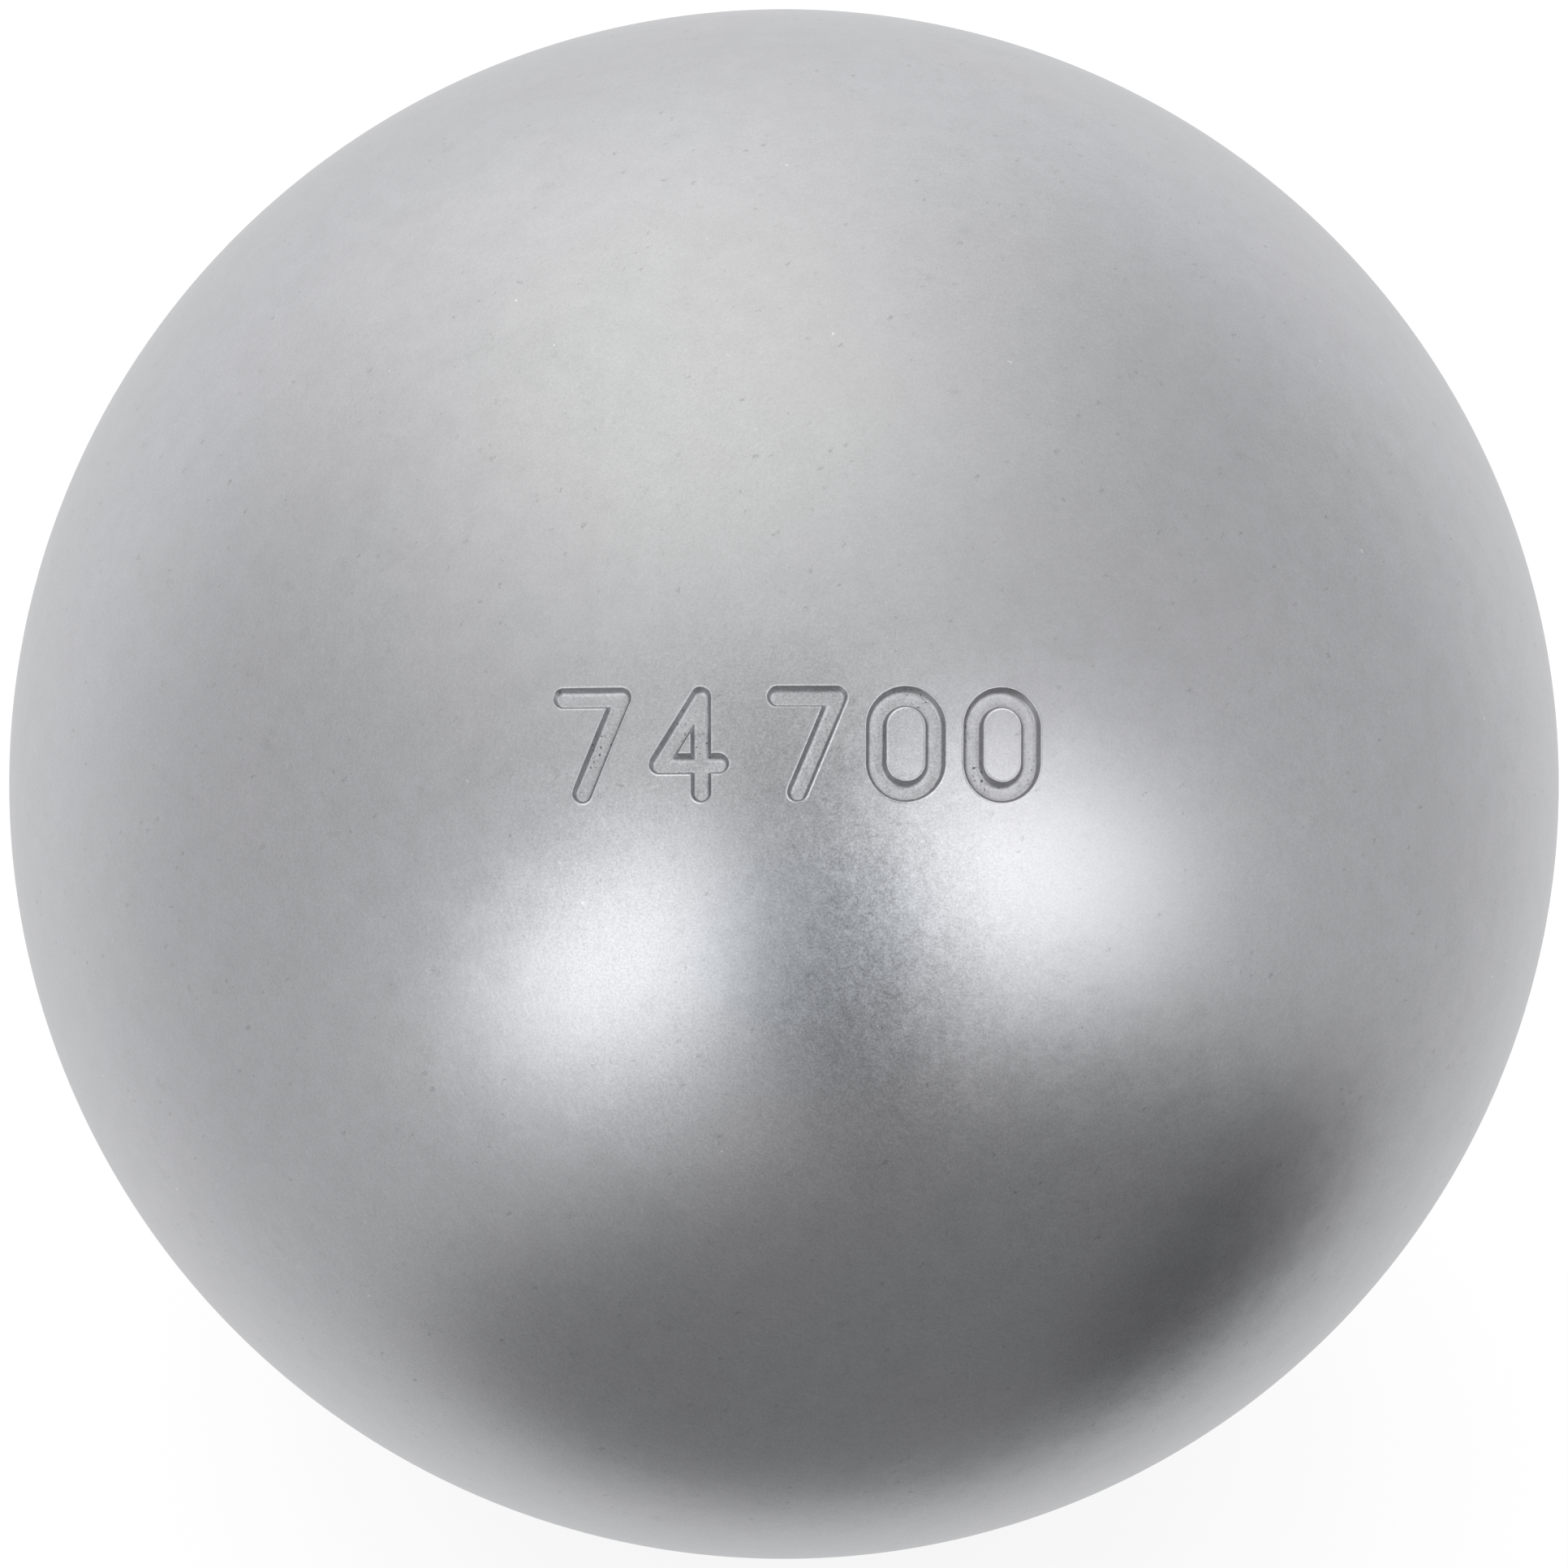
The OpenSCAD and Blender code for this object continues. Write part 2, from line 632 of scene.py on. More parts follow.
def capsule(start, end, radius, strokes):
    """Closed outline at one distance round a core; strokes that end at one point share its steps."""
    fine = stamp().fineness / MM
    along = (end - start).normalized()
    steps = max(LEAST_STEPS, 4 * round(FULL_TURN * radius / fine / 4))
    points = []
    for here, there, way in ((start, end, along), (end, start, -along)):
        turns = {FULL_TURN * k / steps for k in range(steps)}
        for stroke in strokes:
            for a, b in ((stroke.start, stroke.end), (stroke.end, stroke.start)):
                if (a - here).length < NEARLY:
                    across = math.atan2(b.y - a.y, b.x - a.x) + QUARTER_TURN
                    turns |= {across % FULL_TURN, (across + HALF_TURN) % FULL_TURN}
        first = math.atan2(way.y, way.x) + QUARTER_TURN
        for turn in sorted((turn - first) % FULL_TURN for turn in turns):
            if turn < HALF_TURN + TINY:
                points.append(here + radius * heading(first + turn))
        side = round((there - here).length / fine)
        last = here + radius * heading(first + HALF_TURN)
        points += [last + (there - here) * k / side for k in range(1, side)]
    return points


def outlines(stroke, strokes, level):
    """The outlines of one stroke at a level of the groove's section."""
    away = stamp().groove_w / MM / 2 + level
    radii = (stroke.loop_r + away, stroke.loop_r - away) if stroke.loop_r else (away,)
    return [capsule(stroke.start, stroke.end, radius, strokes) for radius in radii]


def meeting(kept, dropped, others, level):
    """Point between two where a stroke's outline runs into another stroke's."""
    for _ in range(HALVINGS):
        middle = (kept + dropped) / 2
        if outside_groove(middle, others) < level:
            dropped = middle
        else:
            kept = middle
    return kept


def groove_lines(strokes):
    """Points and edges of every level of a figure's grooves, without what lies in another groove."""
    points, edges = [], []
    for stroke in strokes:
        others = [each for each in strokes if each is not stroke]
        for level, _ in GROOVE:
            for loop in outlines(stroke, strokes, level):
                free = [not others or outside_groove(p, others) > level - NEARLY for p in loop]
                for k, here in enumerate(loop):
                    there, there_free = loop[k - 1], free[k - 1]
                    if not (free[k] or there_free):
                        continue
                    if not free[k]:
                        here = meeting(there, here, others, level)
                    elif not there_free:
                        there = meeting(here, there, others, level)
                    edges.append((len(points), len(points) + 1))
                    points += [here, there]
    return points, edges


def row_axes():
    """Unit vectors on the ball: out through the row's middle, along the row and up."""
    s = stamp()
    return direction(s.turn, s.rise), *slanted_axes(s.turn, s.rise, s.slope)


def flat_place(point):
    """A point of the ball in the row's flat millimetres."""
    out, along, up = row_axes()
    r = ball_radius()
    level = math.hypot(point.dot(out), point.dot(along))
    turn = math.atan2(point.dot(along), point.dot(out))
    return Vector((turn, math.atan2(point.dot(up), level))) * r / MM


def ball_place(flat, height):
    """The place on the ball of a flat point that stands a height over it, in millimetres."""
    out, along, up = row_axes()
    r = ball_radius()
    sunk = min(0, height) / FLOOR_H
    turn = flat.x * MM / r
    rise = (flat.y * MM - sunk * stamp().lean) / r
    level = out * math.cos(turn) + along * math.sin(turn)
    return (level * math.cos(rise) + up * math.sin(rise)) * (r + height * MM)


def open_window(mesh):
    """Deletes the faces under the row and returns the vertices round the opening, in order."""
    s = stamp()
    half_u = s.row_length / MM / 2 + WINDOW_MARGIN
    half_v = (s.figure_h + s.groove_w) / MM / 2 + WINDOW_MARGIN
    under = []
    for face in mesh.faces:
        middle = face.calc_center_median()
        flat = flat_place(middle)
        if middle.length > ball_radius() - SKIN and abs(flat.x) < half_u and abs(flat.y) < half_v:
            under.append(face)
    bmesh.ops.delete(mesh, geom=under, context="FACES")
    rim = {v: [e.other_vert(v) for e in v.link_edges if e.is_boundary]
           for v in mesh.verts if v.is_boundary}
    first = next(iter(rim))
    ring = [first, rim[first][0]]
    while ring[-1] is not first:
        a, b = rim[ring[-1]]
        ring.append(b if a is ring[-2] else a)
    return ring[:-1]


def lies_in(point, ring):
    """Whether a flat point lies inside a ring of points."""
    inside = False
    for a, b in zip(ring, ring[1:] + ring[:1]):
        if (a.y > point.y) != (b.y > point.y):
            if point.x < a.x + (point.y - a.y) * (b.x - a.x) / (b.y - a.y):
                inside = not inside
    return inside


def plain_points(rim, strokes):
    """Even points on the plain steel between the grooves and the rim of the opening."""
    step = stamp().plain_step / MM
    clear = GROOVE[0][0] + step / 2
    wide = max(abs(p.x) for p in rim)
    high = max(abs(p.y) for p in rim)
    points = []
    for row in range(-int(high / step), int(high / step) + 1):
        for column in range(-int(wide / step), int(wide / step) + 1):
            point = Vector((column + row % 2 / 2, row)) * step
            if lies_in(point, rim) and outside_groove(point, strokes) > clear:
                if min((point - p).length for p in rim) > step / 2:
                    points.append(point)
    return points


def strike_figures(piece):
    """Strikes the row of figures into the outside of the piece."""
    mesh = bmesh.new()
    mesh.from_mesh(piece.data)
    groove = mesh.verts.layers.float.new("groove")
    ring = open_window(mesh)
    rim = [flat_place(v.co) for v in ring]
    row = figure_row()
    strokes = [stroke for figure in row for stroke in figure.strokes]
    points = list(rim)
    edges = [(k, (k + 1) % len(rim)) for k in range(len(rim))]
    for figure in row:
        more, lines = groove_lines(figure.strokes)
        edges += [(a + len(points), b + len(points)) for a, b in lines]
        points += more
    points += plain_points(rim, strokes)
    inside_lines = 1
    flats, _, faces, origins, _, _ = delaunay_2d_cdt(points, edges, [], inside_lines, FINEST)
    vertices = []
    for flat, origin in zip(flats, origins):
        on_rim = [k for k in origin if k < len(rim)]
        if on_rim:
            vertices.append(ring[on_rim[0]])
        else:
            vertices.append(mesh.verts.new(ball_place(flat, struck_height(flat, row))))
            vertices[-1][groove] = max(0, HALO - outside_groove(flat, strokes))
    for face in faces:
        mesh.faces.new([vertices[k] for k in face])
    bmesh.ops.remove_doubles(mesh, verts=vertices, dist=SAME_PLACE)
    mesh.normal_update()
    mesh.to_mesh(piece.data)
    mesh.free()


# The steel


class Wiring:
    """Adds nodes to one tree. A value for a socket is a constant or another node's output."""

    def __init__(self, tree):
        self.nodes, self.links = tree.nodes, tree.links

    def put(self, socket, value):
        """Sets a socket to a constant, or links it to an output."""
        if isinstance(value, bpy.types.NodeSocket):
            self.links.new(value, socket)
        else:
            socket.default_value = value

    def node(self, kind, values=None, **settings):
        """A new node of a kind, with its settings and with values for its sockets."""
        node = self.nodes.new("ShaderNode" + kind)
        for name, value in settings.items():
            setattr(node, name, value)
        for socket, value in (values or {}).items():
            self.put(node.inputs[socket], value)
        return node

    def maths(self, operation, *values):
        """The result of a sum on numbers."""
        return self.node("Math", dict(enumerate(values)), operation=operation).outputs[0]

    def vector(self, operation, *values):
        """The result of a sum on vectors."""
        node = self.node("VectorMath", dict(enumerate(values)), operation=operation)
        return node.outputs["Value" if operation in ("DOT_PRODUCT", "LENGTH") else "Vector"]

    def scaled(self, vector, times):
        """A vector made so many times longer."""
        values = {"Vector": vector, "Scale": times}
        return self.node("VectorMath", values, operation="SCALE").outputs["Vector"]

    def step(self, value, low, high, to_low=0.0, to_high=1.0):
        """A smooth step from one value to another while a third goes from low to high."""
        sockets = ("Value", "From Min", "From Max", "To Min", "To Max")
        values = dict(zip(sockets, (value, low, high, to_low, to_high)))
        return self.node("MapRange", values, interpolation_type="SMOOTHSTEP").outputs["Result"]


def new_group(name, inputs, outputs):
    """A node group with its sockets, listed by their type, and its wiring, inputs and results."""
    group = bpy.data.node_groups.new(name, "ShaderNodeTree")
    for way, sockets in (("INPUT", inputs), ("OUTPUT", outputs)):
        for kind, labels in sockets.items():
            for label in labels:
                group.interface.new_socket(label, in_out=way, socket_type="NodeSocket" + kind)
    given = group.nodes.new("NodeGroupInput").outputs
    results = group.nodes.new("NodeGroupOutput").inputs
    return group, Wiring(group), given, results


def grey(level):
    """An opaque grey of one level."""
    return (level, level, level, 1)


def place_noise(w, place, size, detail=1.0, rough=0.5):
    """Noise with grains of a size in metres; runs from 0 to 1 round 0.5."""
    values = {"Vector": place, "Scale": 1 / size, "Detail": detail, "Roughness": rough}
    return w.node("TexNoise", values).outputs["Fac"]


def narrowed(w, place, axis, times):
    """The place with what is drawn at it made so many times shorter along an axis."""
    along = w.maths("MULTIPLY", w.vector("DOT_PRODUCT", place, axis), w.maths("SUBTRACT", times, 1.0))
    return w.vector("ADD", place, w.scaled(axis, along))


def swings(w, noise, size):
    """A noise's colour as a vector that swings round 0."""
    return w.scaled(w.vector("SUBTRACT", noise.node.outputs["Color"], (0.5, 0.5, 0.5)), size)


def grain_group():
    """Node group: the satin grain, as a tilt of the surface, a tone round 1 and a roughness to add."""
    group, w, given, results = new_group(
        "satin_grain",
        {"Vector": ("Place", "Axis"), "Float": ("Strength", *GRAIN)},
        {"Vector": ("Tilt",), "Float": ("Tone", "Rough")},
    )
    place = given["Place"]
    parts = {
        "Grain": place_noise(w, place, GRAIN_SIZE),
        "Dash": place_noise(w, narrowed(w, place, given["Axis"], DASHES_NARROWED), DASH_SIZE),
        "Cloud": place_noise(w, place, CLOUD_SIZE, CLOUD_DETAIL, CLOUD_ROUGH),
    }
    tilt, sums = (0.0, 0.0, 0.0), {"Tone": 1.0, "Rough": 0.0}
    for part, noise in parts.items():
        strength = 1.0 if part == "Cloud" else given["Strength"]
        swing = w.maths("MULTIPLY", w.maths("SUBTRACT", noise, 0.5), strength)
        for effect in sums:
            sums[effect] = w.maths("MULTIPLY_ADD", swing, given[f"{part} {effect}"], sums[effect])
        size = w.maths("MULTIPLY", given[f"{part} Tilt"], strength)
        tilt = w.vector("ADD", swings(w, noise, size), tilt)
    for effect, total in {"Tilt": tilt, **sums}.items():
        w.put(results[effect], total)
    return group


def marks_group():
    """Node group: small uneven marks, one in some of the cells that fill space."""
    group, w, given, results = new_group(
        "small_marks",
        {"Vector": ("Place", "Axis"), "Float": ("Narrowed", "Cell", "Radius", "Share")},
        {"Float": ("Mask",)},
    )
    shake = w.maths("MULTIPLY", given["Radius"], MARK_SHAKE)
    shaken = swings(w, place_noise(w, given["Place"], MARK_SHAKE_SIZE), shake)
    place = narrowed(w, w.vector("ADD", given["Place"], shaken), given["Axis"], given["Narrowed"])
    scale = w.maths("DIVIDE", 1.0, given["Cell"])
    cells = w.node("TexVoronoi", {"Vector": place, "Scale": scale}).outputs
    away = w.maths("MULTIPLY", cells["Distance"], given["Cell"])
    lot = w.node("SeparateColor", {"Color": cells["Color"]}).outputs
    size = w.maths("MULTIPLY_ADD", lot["Green"], MARK_SPREAD, MARK_LEAST)
    radius = w.maths("MULTIPLY", given["Radius"], size)
    shape = w.step(away, w.maths("MULTIPLY", radius, MARK_CORE), radius, 1.0, 0.0)
    drawn = w.maths("LESS_THAN", lot["Red"], given["Share"])
    w.put(results["Mask"], w.maths("MULTIPLY", shape, drawn))
    return group


def scratch_group():
    """Node group: a hairline along a great circle, faded at its ends."""
    group, w, given, results = new_group(
        "hairline",
        {"Vector": ("Place", "Middle", "Across"), "Float": ("Half Length",)},
        {"Float": ("Mask",)},
    )
    aside = w.maths("ABSOLUTE", w.vector("DOT_PRODUCT", given["Place"], given["Across"]))
    away = w.vector("LENGTH", w.vector("SUBTRACT", given["Place"], given["Middle"]))
    line = w.step(aside, 0.0, SCRATCH_HALF_W, 1.0, 0.0)
    core = w.maths("MULTIPLY", given["Half Length"], SCRATCH_CORE)
    length = w.step(away, core, given["Half Length"], 1.0, 0.0)
    w.put(results["Mask"], w.maths("MULTIPLY", line, length))
    return group


def all_scratches(w, place):
    """Mask of all hairlines."""
    group = scratch_group()
    total = 0.0
    for scratch in SCRATCHES:
        turn, rise, slant = (math.radians(a) for a in scratch[:3])
        _, across = slanted_axes(turn, rise, slant)
        middle = direction(turn, rise) * ball_radius()
        values = {"Place": place, "Middle": middle, "Across": across, "Half Length": scratch.length / 2}
        total = w.maths("ADD", w.node("Group", values, node_tree=group).outputs["Mask"], total)
    return total


def marks_mask(w, place, marks):
    """Mask of one kind of small marks."""
    group = bpy.data.node_groups.get("small_marks") or marks_group()
    axis, _ = slanted_axes(0, studio().tilt, math.radians(marks.slant))
    values = {
        "Place": place, "Axis": axis, "Narrowed": marks.narrowed,
        "Cell": marks.cell, "Radius": marks.radius, "Share": marks.share,
    }
    return w.node("Group", values, node_tree=group).outputs["Mask"]


def round_patch(w, place, spot):
    """Mask of a soft round patch of the ball."""
    middle = direction(math.radians(spot.turn), math.radians(spot.rise)) * ball_radius()
    away = w.vector("LENGTH", w.vector("SUBTRACT", place, middle))
    return w.step(away, SPOT_CORE * spot.radius, spot.radius, 1.0, 0.0)


def blotches(w, place, kind):
    """Mask of uneven patches with soft edges."""
    low, high = kind.rises
    return w.step(place_noise(w, place, kind.size, kind.detail, kind.rough), low, high)


def stripe(w, inward, band):
    """Mask of a stripe along the grooves."""
    return w.maths("MULTIPLY", w.step(inward, *band.rises), w.step(inward, *band.falls, 1.0, 0.0))


def satin_grain(w, place, inward, in_gap_shade):
    """The grain's tilt, tone and roughness, stronger where the ball is worn, handled or struck."""
    s = steel()
    strength = s.grain
    for mask, more in (
        (round_patch(w, place, WORN), s.worn_grain),
        (round_patch(w, place, HANDLED), s.handled_grain),
        (blotches(w, place, UNEVEN), s.uneven_grain),
        (in_gap_shade, s.gap_grain),
        (w.step(inward, *STRUCK), s.struck_grain),
    ):
        strength = w.maths("MULTIPLY_ADD", mask, more, strength)
    values = {"Place": place, "Axis": direction(*DASHES_ACROSS), "Strength": strength, **GRAIN}
    return w.node("Group", values, node_tree=grain_group()).outputs


def steel_tone(w, place, inward, in_gap_shade, tone):
    """The grain's tone with that of every mark, the staining and painted shade in the gap, and the
    struck edges' painted highlight and painted shade.
    """
    masks = {
        # painted highlight along the lips
        "lip_highlight": stripe(w, inward, LIP_HIGHLIGHT),
        # painted shade down the groove walls
        "wall": stripe(w, inward, WALL_SHADE),
        "grime": w.maths("MULTIPLY", blotches(w, place, GRIME), w.step(inward, *GRIMED)),
        # partly real staining, partly painted shade in the gap between the highlights
        "stain_and_gap_shade": w.maths("MULTIPLY", in_gap_shade, blotches(w, place, STAIN_AND_GAP_SHADE)),
        "scratches": all_scratches(w, place),
    }
    toned = [(mask, TONES[name]) for name, mask in masks.items()]
    in_groove = w.maths("MULTIPLY", blotches(w, place, CLUSTERS), w.step(inward, *CRUMBED))
    for name, marks in MARKS.items():
        mask = marks_mask(w, place, marks)
        if name == "crumbs":
            mask = w.maths("MULTIPLY", mask, in_groove)
        toned.append((mask, marks.tone))
    for mask, left in toned:
        tone = w.maths("MULTIPLY", tone, w.maths("MULTIPLY_ADD", mask, left - 1, 1.0))
    return tone


def steel_colour(w, place, in_gap_shade, tone):
    """The ground steel's colour, violet in patches and tinted bluish as a painted reflection where the
    gap between the highlights falls, times the tone.
    """
    s = steel()
    colour = (*s.ground, 1)
    # the second mix is a painted reflection tint in the gap between the highlights
    for other, share in ((s.violet, blotches(w, place, VIOLET)), (s.gap_reflection_tint, in_gap_shade)):
        values = {"Fac": share, "Color1": colour, "Color2": (*other, 1)}
        colour = w.node("MixRGB", values).outputs["Color"]
    return w.scaled(colour, tone)


def satin_steel():
    """Satin ground and tempered steel, with the struck grooves duller than the ground surface."""
    found = bpy.data.materials.get("satin_steel")
    if found:
        return found
    s = steel()
    material = bpy.data.materials.new("satin_steel")
    material.use_nodes = True
    w = Wiring(material.node_tree)
    shader = material.node_tree.nodes["Principled BSDF"]
    place = w.node("TexCoord").outputs["Object"]
    inward = w.maths("SUBTRACT", w.node("Attribute", attribute_name="groove").outputs["Fac"], HALO)
    # patch where the dark gap between the highlights falls; it drives painted shade, a painted
    # reflection tint and stronger grain
    in_gap_shade = round_patch(w, place, GAP_SHADE_SPOT)
    grain = satin_grain(w, place, inward, in_gap_shade)
    tone = steel_tone(w, place, inward, in_gap_shade, grain["Tone"])
    w.put(shader.inputs["Base Color"], steel_colour(w, place, in_gap_shade, tone))
    rough = w.step(inward, *STRUCK, s.ground_rough, s.struck_rough)
    rough = w.maths("ADD", grain["Rough"], rough)
    w.put(shader.inputs["Roughness"], w.maths("MAXIMUM", rough, s.least_rough))
    tilted = w.vector("ADD", w.node("NewGeometry").outputs["Normal"], grain["Tilt"])
    w.put(shader.inputs["Normal"], w.vector("NORMALIZE", tilted))
    shader.inputs["Metallic"].default_value = 1
    shader.inputs["Specular Tint"].default_value = grey(s.edge_light)
    return material


# The pieces


def turned_normals(piece):
    """Gives the outside the normals of a true sphere, so that no facet or joint shows in its gloss."""
    ball_r = ball_radius()
    mesh = piece.data
    normals = [Vector(n.vector) for n in mesh.corner_normals]
    for face in mesh.polygons:
        for corner in face.loop_indices:
            place = mesh.vertices[mesh.loops[corner].vertex_index].co
            on_ball = abs(place.length - ball_r) < ON_BALL
            if on_ball and face.normal.dot(place) > FACES_OUT * ball_r:
                normals[corner] = place.normalized()
    mesh.normals_split_custom_set(normals)


def finish_piece(piece, node, smooth_to=PLAIN_EDGE):
    """Smooths a piece, gives it its steel and lets it stand for its CAD node."""
    deselect_all()
    piece.select_set(True)
    bpy.context.view_layer.objects.active = piece
    bpy.ops.object.shade_smooth_by_angle(angle=smooth_to)
    turned_normals(piece)
    piece.data.materials.clear()
    piece.data.materials.append(satin_steel())
    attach(piece, "root")
    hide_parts(node)


class BOULE_OT_upper_half_shell(bpy.types.Operator):
    """Models the upper half shell"""

    bl_idname = "boule.upper_half_shell"
    bl_label = "Upper half shell"

    def execute(self, context):
        piece = half_shell_solid("upper_shell")
        strike_figures(piece)
        finish_piece(piece, "upper_half_shell", STRUCK_EDGE)
        return {"FINISHED"}


class BOULE_OT_lower_half_shell(bpy.types.Operator):
    """Models the lower half shell"""

    bl_idname = "boule.lower_half_shell"
    bl_label = "Lower half shell"

    def execute(self, context):
        piece = half_shell_solid("lower_shell")
        edit(piece)
        bpy.ops.mesh.select_all(action="SELECT")
        bpy.ops.transform.rotate(value=HALF_TURN, orient_axis="X", center_override=(0, 0, 0))
        bpy.ops.object.mode_set(mode="OBJECT")
        finish_piece(piece, "lower_half_shell")
        return {"FINISHED"}


class BOULE_OT_weld(bpy.types.Operator):
    """Models the weld metal"""

    bl_idname = "boule.weld"
    bl_label = "Weld"

    def execute(self, context):
        piece = weld_solid("weld")
        finish_piece(piece, "weld_bead")
        return {"FINISHED"}


# The studio


def add_camera():
    """The camera, as high over the horizon as the photograph's and as near as its frame asks."""
    s = studio()
    ball_r = ball_radius()
    far = s.camera_far * ball_r
    towards = direction(0, s.tilt)
    bpy.ops.object.camera_add(location=towards * far)
    camera = bpy.context.object
    camera.name = "camera"
    camera.rotation_euler = (-towards).to_track_quat("-Z", "Y").to_euler()
    silhouette = math.tan(math.asin(ball_r / far))
    camera.data.lens = camera.data.sensor_width / 2 * s.frame_share / silhouette
    bpy.context.scene.camera = camera


def floor_material():
    """A pale floor that gives most of its light by itself, and lets a camera under it look through."""
    s = studio()
    material = bpy.data.materials.new("pale_floor")
    material.use_nodes = True
    w = Wiring(material.node_tree)
    shader = material.node_tree.nodes["Principled BSDF"]
    shader.inputs["Base Color"].default_value = grey(s.floor_albedo)
    shader.inputs["Roughness"].default_value = 1
    shader.inputs["Specular IOR Level"].default_value = 0
    shader.inputs["Emission Color"].default_value = grey(1)
    shader.inputs["Emission Strength"].default_value = s.floor_glow
    from_below = w.node("NewGeometry").outputs["Backfacing"]
    clear = w.node("BsdfTransparent").outputs["BSDF"]
    mix = w.node("MixShader", {0: from_below, 1: shader.outputs["BSDF"], 2: clear})
    w.put(material.node_tree.nodes["Material Output"].inputs["Surface"], mix.outputs["Shader"])
    return material


def add_floor():
    """The pale floor. The ball mirrors the world's lower half in its place, so gloss skips it."""
    ball_r = ball_radius()
    bpy.ops.mesh.primitive_plane_add(size=studio().floor_size * ball_r, location=(0, 0, -ball_r))
    floor = bpy.context.object
    floor.name = "floor"
    floor.data.materials.append(floor_material())
    floor.visible_glossy = False


def soft_patch_group():
    """Node group: an ellipse with a soft edge among the directions round the ball."""
    group, w, given, results = new_group(
        "soft_patch",
        {"Vector": ("Direction", "Centre", "Across", "Up"),
         "Float": ("Half Width", "Half Height", "Softness")},
        {"Float": ("Mask",)},
    )
    looking = given["Direction"]
    angle = w.maths("ARCCOSINE", w.vector("DOT_PRODUCT", looking, given["Centre"]))
    across = w.maths("DIVIDE", w.vector("DOT_PRODUCT", looking, given["Across"]), given["Half Width"])
    up = w.maths("DIVIDE", w.vector("DOT_PRODUCT", looking, given["Up"]), given["Half Height"])
    flat = w.node("CombineXYZ", {"X": across, "Y": up}).outputs["Vector"]
    share = w.maths("MULTIPLY", w.vector("LENGTH", flat), angle)
    share = w.maths("DIVIDE", share, w.maths("SINE", angle))
    inner = w.maths("SUBTRACT", 1.0, given["Softness"])
    outer = w.maths("ADD", 1.0, given["Softness"])
    w.put(results["Mask"], w.step(share, inner, outer, 1.0, 0.0))
    return group


class Patch(NamedTuple):
    """A soft ellipse round the ball: angles in degrees, the turn to the right of the camera's side."""

    turn: float
    rise: float
    slant: float
    half_width: float
    half_height: float
    softness: float
    strength: float


LIGHTS = {
    "overhead": Patch(-127, 75, -47, 35, 40, 0.85, 0.53),
    "behind": Patch(188, -17, -20, 62, 65, 0.38, 0.33),
    "left_softbox": Patch(-21, 10.5, -44, 12.0, 23.2, 0.67, 1.56),
    "right_softbox": Patch(31, 20, 60, 12.4, 22.8, 1.0, 1.70),
}
WARM = (1.012, 1.0, 0.97)  # colour of the overhead light
SHADES = {
    "gap": Patch(5.6, 16.6, 9, 13.6, 32.3, 0.12, 0.74),
    "dark_room": Patch(21, -52.5, -49, 39.5, 47.5, 0.16, 0.61),
    "dark_corner": Patch(77, -47, 10, 15, 20.5, 0.26, 0.65),
}


def patch_mask(w, looking, patch):
    """Mask of one light or shade of the room."""
    group = bpy.data.node_groups.get("soft_patch") or soft_patch_group()
    turn, rise, slant, half_width, half_height = (math.radians(a) for a in patch[:5])
    across, up = slanted_axes(turn, rise, slant)
    values = {
        "Direction": looking, "Centre": direction(turn, rise), "Across": across, "Up": up,
        "Half Width": half_width, "Half Height": half_height, "Softness": patch.softness,
    }
    return w.node("Group", values, node_tree=group).outputs["Mask"]


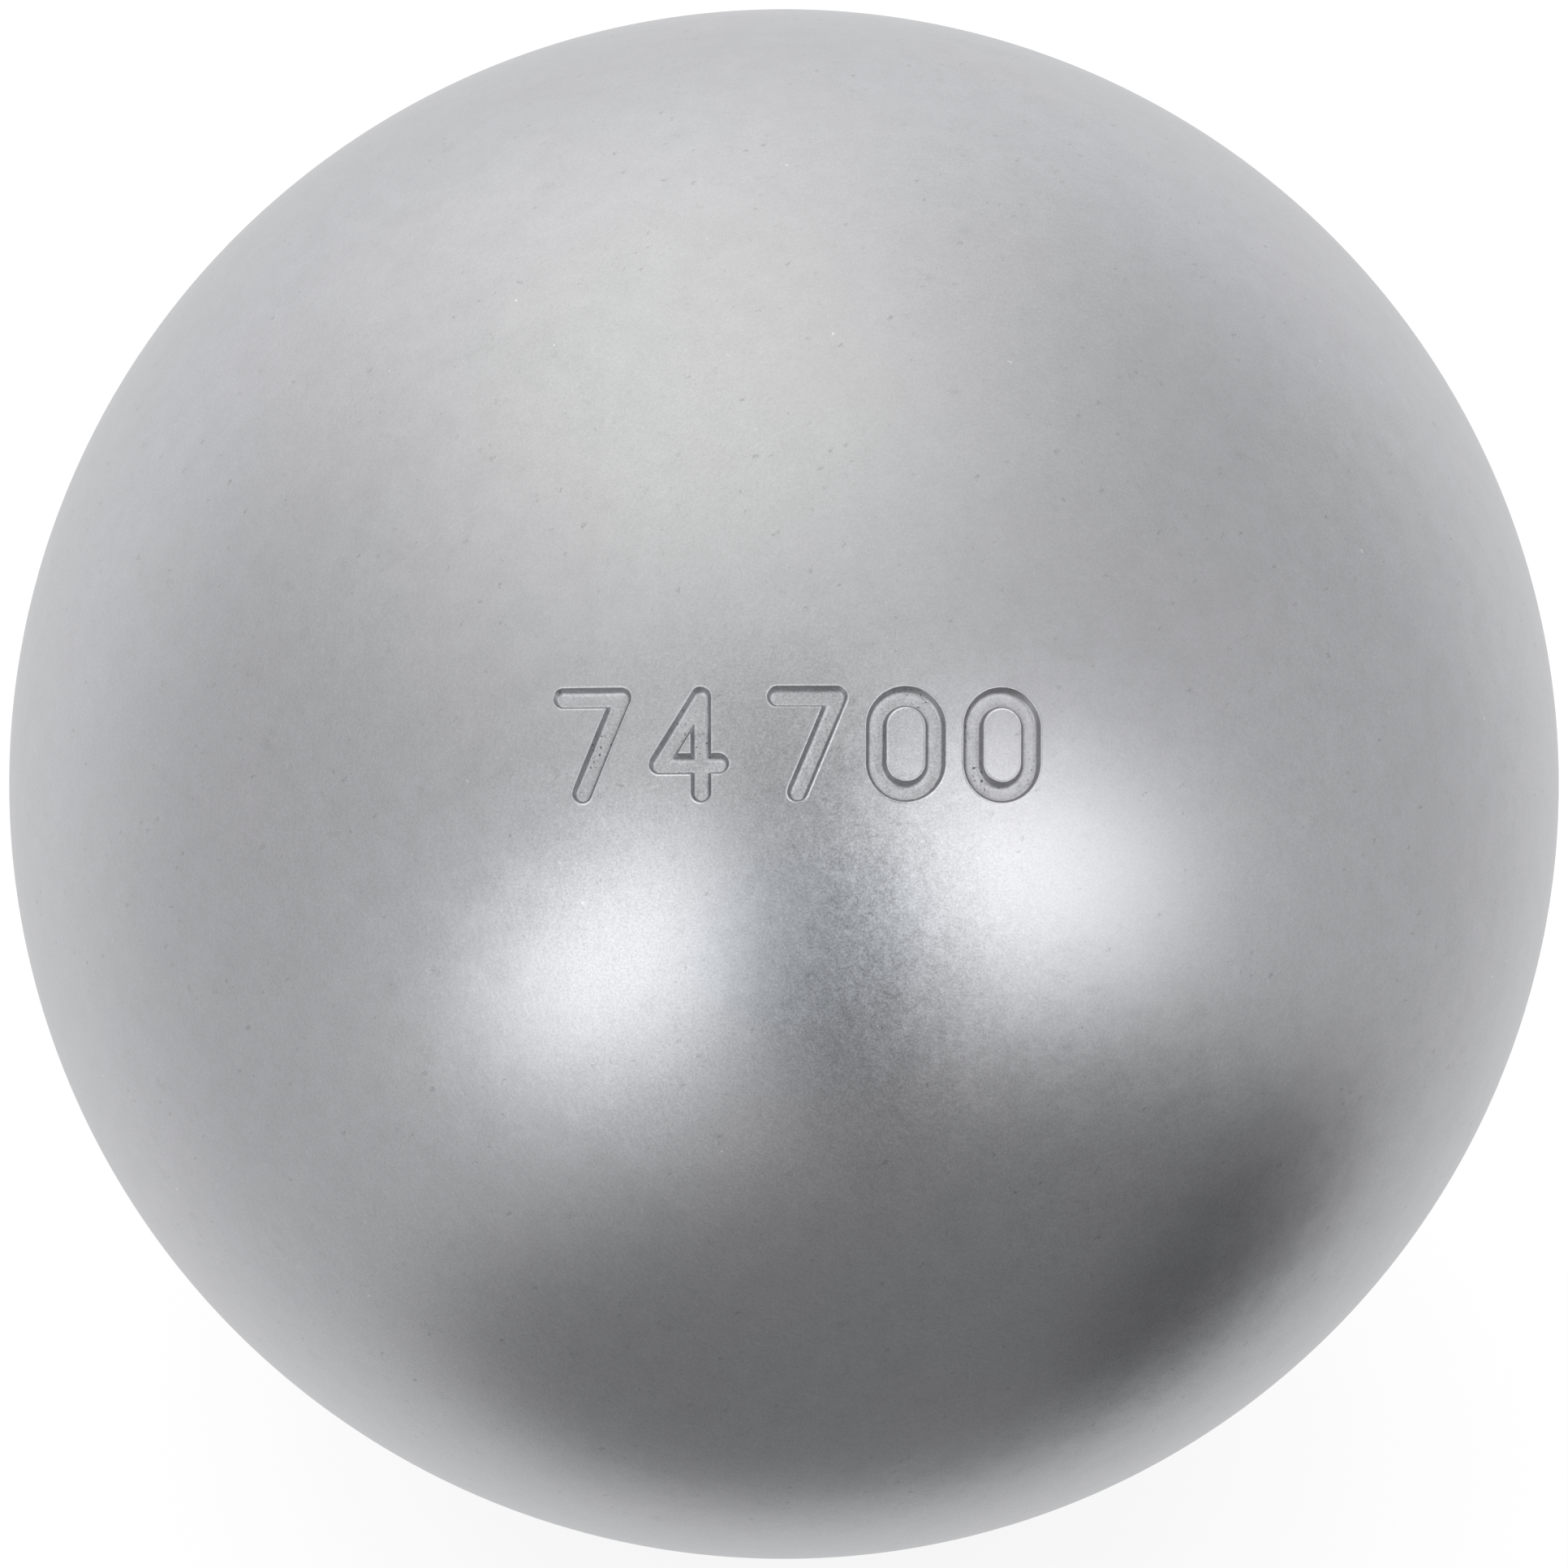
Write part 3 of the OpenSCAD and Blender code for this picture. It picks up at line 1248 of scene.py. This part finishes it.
def add_world():
    """The room that the ball mirrors: an even level, the lights on it and the shades over them."""
    world = bpy.data.worlds.new("studio_room")
    bpy.context.scene.world = world
    world.use_nodes = True
    world.node_tree.nodes.clear()
    w = Wiring(world.node_tree)
    looking = w.node("TexCoord").outputs["Generated"]
    level = studio().room_level
    masks = {name: patch_mask(w, looking, patch) for name, patch in LIGHTS.items()}
    for name, patch in LIGHTS.items():
        level = w.maths("MULTIPLY_ADD", masks[name], patch.strength, level)
    for patch in SHADES.values():
        left = w.maths("MULTIPLY_ADD", patch_mask(w, looking, patch), -patch.strength, 1.0)
        level = w.maths("MULTIPLY", level, left)
    warmed = w.node("MixRGB", {"Fac": masks["overhead"], "Color1": grey(1), "Color2": (*WARM, 1)})
    light = w.node("Background", {"Color": warmed.outputs["Color"], "Strength": level})
    backdrop = w.node("Background", {"Color": grey(studio().backdrop)})
    by_camera = w.node("LightPath").outputs["Is Camera Ray"]
    mix = w.node("MixShader", {0: by_camera, 1: light.outputs[0], 2: backdrop.outputs[0]})
    w.node("OutputWorld", {"Surface": mix.outputs[0]})


class BOULE_OT_studio(bpy.types.Operator):
    """Sets up the camera, the floor and the soft lights"""

    bl_idname = "boule.studio"
    bl_label = "Studio"

    def execute(self, context):
        deselect_all()
        context.scene.view_settings.view_transform = "Standard"
        add_camera()
        add_floor()
        add_world()
        return {"FINISHED"}


# The add-on


class BOULE_PT_panel(bpy.types.Panel):
    """Lists the pieces and the studio"""

    bl_label = "Boule"
    bl_idname = "BOULE_PT_panel"
    bl_space_type = "VIEW_3D"
    bl_region_type = "UI"
    bl_category = "Boule"

    def draw(self, context):
        for operator in OPERATORS:
            self.layout.operator(operator.bl_idname)


OPERATORS = (
    BOULE_OT_upper_half_shell,
    BOULE_OT_lower_half_shell,
    BOULE_OT_weld,
    BOULE_OT_studio,
)
SETTINGS = {
    "boule_sizes": BouleSizes,
    "stamp_sizes": StampSizes,
    "steel_look": SteelLook,
    "studio_sizes": StudioSizes,
}
CLASSES = (*SETTINGS.values(), *OPERATORS, BOULE_PT_panel)


def register():
    for each in CLASSES:
        bpy.utils.register_class(each)
    for name, group in SETTINGS.items():
        setattr(bpy.types.Scene, name, PointerProperty(type=group))


def unregister():
    for name in SETTINGS:
        delattr(bpy.types.Scene, name)
    for each in reversed(CLASSES):
        bpy.utils.unregister_class(each)


def main():
    register()
    bpy.ops.boule.upper_half_shell()
    bpy.ops.boule.lower_half_shell()
    bpy.ops.boule.weld()
    bpy.ops.boule.studio()


if __name__ == "__main__":
    main()
